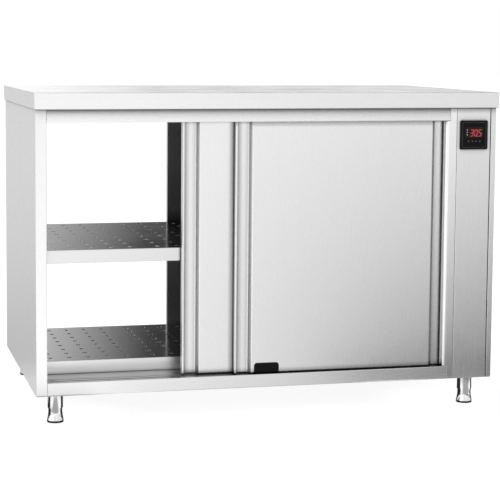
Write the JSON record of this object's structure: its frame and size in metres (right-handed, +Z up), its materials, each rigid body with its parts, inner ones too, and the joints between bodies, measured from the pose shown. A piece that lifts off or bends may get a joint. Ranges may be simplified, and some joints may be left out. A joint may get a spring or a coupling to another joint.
{
  "type": "hot cupboard",
  "caption": "Pass-through stainless hot cupboard with sliding doors front and rear, a perforated shelf, a fan heater and a digital controller, on adjustable feet.",
  "frame": {"origin": "centre of the footprint on the floor, under the feet", "axes": "+X along the width to the control column, -Y towards the front, +Z up"},
  "size_m": [1.2, 0.7, 0.82],
  "materials": {
    "brushed_stainless": "brushed",
    "satin_stainless": "satin",
    "polished_steel": "polished",
    "track_aluminium": "mill",
    "black_plastic": "fine texture",
    "display_lens": "clear, dark",
    "button_plastic": "soft touch",
    "white_nylon": "moulded",
    "motor_paint": "stoved",
    "heater_steel": "heat tinted",
    "core_board": "raw",
    "mineral_wool": "fibrous"
  },
  "bodies": {
    "cabinet": {"worktop": "brushed_stainless", "worktop_core": "core_board", "ceiling_panel": "satin_stainless", "left_side_shell": "brushed_stainless", "left_side_liner": "satin_stainless", "left_insulation": "mineral_wool", "right_side_panel": "brushed_stainless", "partition_shell": "brushed_stainless", "floor_pan": "satin_stainless", "underside_panel": "satin_stainless", "front_rail": "brushed_stainless", "rear_rail": "brushed_stainless", "front_header": "brushed_stainless", "rear_header": "brushed_stainless", "door_tracks": "track_aluminium", "control_fascia": "brushed_stainless", "service_cover": "brushed_stainless", "service_screws": "satin_stainless", "upper_shelf": "satin_stainless", "shelf_brackets": "satin_stainless", "base_plate": "satin_stainless", "leg_tubes": "polished_steel", "controller_case": "black_plastic", "controller_bezel": "black_plastic", "display_window": "display_lens", "fan_duct": "satin_stainless", "fan_motor": "motor_paint", "heater_element": "heater_steel", "terminal_block": "white_nylon", "temperature_probe": "polished_steel", "cable_gland": "black_plastic"},
    "front_left_door": {"front_left_door_skin": "brushed_stainless", "front_left_door_liner": "satin_stainless", "front_left_guide": "black_plastic"},
    "front_left_roller_a": {"front_left_roller_a": "white_nylon"},
    "front_left_roller_b": {"front_left_roller_b": "white_nylon"},
    "front_right_door": {"front_right_door_skin": "brushed_stainless", "front_right_door_liner": "satin_stainless", "front_right_guide": "black_plastic"},
    "front_right_roller_a": {"front_right_roller_a": "white_nylon"},
    "front_right_roller_b": {"front_right_roller_b": "white_nylon"},
    "rear_left_door": {"rear_left_door_skin": "brushed_stainless", "rear_left_door_liner": "satin_stainless", "rear_left_guide": "black_plastic"},
    "rear_left_roller_a": {"rear_left_roller_a": "white_nylon"},
    "rear_left_roller_b": {"rear_left_roller_b": "white_nylon"},
    "rear_right_door": {"rear_right_door_skin": "brushed_stainless", "rear_right_door_liner": "satin_stainless", "rear_right_guide": "black_plastic"},
    "rear_right_roller_a": {"rear_right_roller_a": "white_nylon"},
    "rear_right_roller_b": {"rear_right_roller_b": "white_nylon"},
    "foot_front_left": {"foot_front_left": "polished_steel"},
    "foot_front_right": {"foot_front_right": "polished_steel"},
    "foot_rear_left": {"foot_rear_left": "polished_steel"},
    "foot_rear_right": {"foot_rear_right": "polished_steel"},
    "button_1": {"button_1": "button_plastic"},
    "button_2": {"button_2": "button_plastic"},
    "button_3": {"button_3": "button_plastic"},
    "button_4": {"button_4": "button_plastic"},
    "fan_wheel": {"fan_wheel": "track_aluminium"}
  },
  "joints": [
    {"name": "front_left_slide", "type": "slide", "parent": "cabinet", "child": "front_left_door", "axis": [1, 0, 0], "range_m": [-0.343, 0.132]},
    {"name": "front_left_roller_a_turn", "type": "hinge", "parent": "front_left_door", "child": "front_left_roller_a", "pos_m": [0.25, -0.306, 0.7651], "axis": [0, 1, 0], "range_deg": [-1970.2, 761.3]},
    {"name": "front_left_roller_b_turn", "type": "hinge", "parent": "front_left_door", "child": "front_left_roller_b", "pos_m": [-0.136, -0.306, 0.7651], "axis": [0, 1, 0], "range_deg": [-1970.2, 761.3]},
    {"name": "front_right_slide", "type": "slide", "parent": "cabinet", "child": "front_right_door", "axis": [1, 0, 0], "range_m": [-0.475, 0]},
    {"name": "front_right_roller_a_turn", "type": "hinge", "parent": "front_right_door", "child": "front_right_roller_a", "pos_m": [-0.004, -0.3245, 0.7651], "axis": [0, 1, 0], "range_deg": [-2726.5, 5]},
    {"name": "front_right_roller_b_turn", "type": "hinge", "parent": "front_right_door", "child": "front_right_roller_b", "pos_m": [0.382, -0.3245, 0.7651], "axis": [0, 1, 0], "range_deg": [-2726.5, 5]},
    {"name": "rear_left_slide", "type": "slide", "parent": "cabinet", "child": "rear_left_door", "axis": [1, 0, 0], "range_m": [-0.431, 0.044]},
    {"name": "rear_left_roller_a_turn", "type": "hinge", "parent": "rear_left_door", "child": "rear_left_roller_a", "pos_m": [0.338, 0.306, 0.7651], "axis": [0, 1, 0], "range_deg": [-2474.4, 257.1]},
    {"name": "rear_left_roller_b_turn", "type": "hinge", "parent": "rear_left_door", "child": "rear_left_roller_b", "pos_m": [-0.048, 0.306, 0.7651], "axis": [0, 1, 0], "range_deg": [-2474.4, 257.1]},
    {"name": "rear_right_slide", "type": "slide", "parent": "cabinet", "child": "rear_right_door", "axis": [1, 0, 0], "range_m": [-0.475, 0]},
    {"name": "rear_right_roller_a_turn", "type": "hinge", "parent": "rear_right_door", "child": "rear_right_roller_a", "pos_m": [-0.004, 0.3245, 0.7651], "axis": [0, 1, 0], "range_deg": [-2726.5, 5]},
    {"name": "rear_right_roller_b_turn", "type": "hinge", "parent": "rear_right_door", "child": "rear_right_roller_b", "pos_m": [0.382, 0.3245, 0.7651], "axis": [0, 1, 0], "range_deg": [-2726.5, 5]},
    {"name": "foot_front_left_screw_out", "type": "slide", "parent": "cabinet", "child": "foot_front_left", "axis": [0, 0, -1], "range_m": [0, 0.03]},
    {"name": "foot_front_right_screw_out", "type": "slide", "parent": "cabinet", "child": "foot_front_right", "axis": [0, 0, -1], "range_m": [0, 0.03]},
    {"name": "foot_rear_left_screw_out", "type": "slide", "parent": "cabinet", "child": "foot_rear_left", "axis": [0, 0, -1], "range_m": [0, 0.03]},
    {"name": "foot_rear_right_screw_out", "type": "slide", "parent": "cabinet", "child": "foot_rear_right", "axis": [0, 0, -1], "range_m": [0, 0.03]},
    {"name": "button_1_press", "type": "slide", "parent": "cabinet", "child": "button_1", "axis": [0, 1, 0], "range_m": [0, 0.0005], "stiffness_N_per_m": 800, "springref_m": -0.001},
    {"name": "button_2_press", "type": "slide", "parent": "cabinet", "child": "button_2", "axis": [0, 1, 0], "range_m": [0, 0.0005], "stiffness_N_per_m": 800, "springref_m": -0.001},
    {"name": "button_3_press", "type": "slide", "parent": "cabinet", "child": "button_3", "axis": [0, 1, 0], "range_m": [0, 0.0005], "stiffness_N_per_m": 800, "springref_m": -0.001},
    {"name": "button_4_press", "type": "slide", "parent": "cabinet", "child": "button_4", "axis": [0, 1, 0], "range_m": [0, 0.0005], "stiffness_N_per_m": 800, "springref_m": -0.001},
    {"name": "fan_spin", "type": "hinge", "parent": "cabinet", "child": "fan_wheel", "pos_m": [0.5092, 0, 0.292], "axis": [1, 0, 0], "continuous": true}
  ],
  "couplings": [
    {"joint": "front_left_roller_a_turn", "follows": "front_left_slide", "rad_per_m": 100},
    {"joint": "front_left_roller_b_turn", "follows": "front_left_slide", "rad_per_m": 100},
    {"joint": "front_right_roller_a_turn", "follows": "front_right_slide", "rad_per_m": 100},
    {"joint": "front_right_roller_b_turn", "follows": "front_right_slide", "rad_per_m": 100},
    {"joint": "rear_left_roller_a_turn", "follows": "rear_left_slide", "rad_per_m": 100},
    {"joint": "rear_left_roller_b_turn", "follows": "rear_left_slide", "rad_per_m": 100},
    {"joint": "rear_right_roller_a_turn", "follows": "rear_right_slide", "rad_per_m": 100},
    {"joint": "rear_right_roller_b_turn", "follows": "rear_right_slide", "rad_per_m": 100}
  ]
}
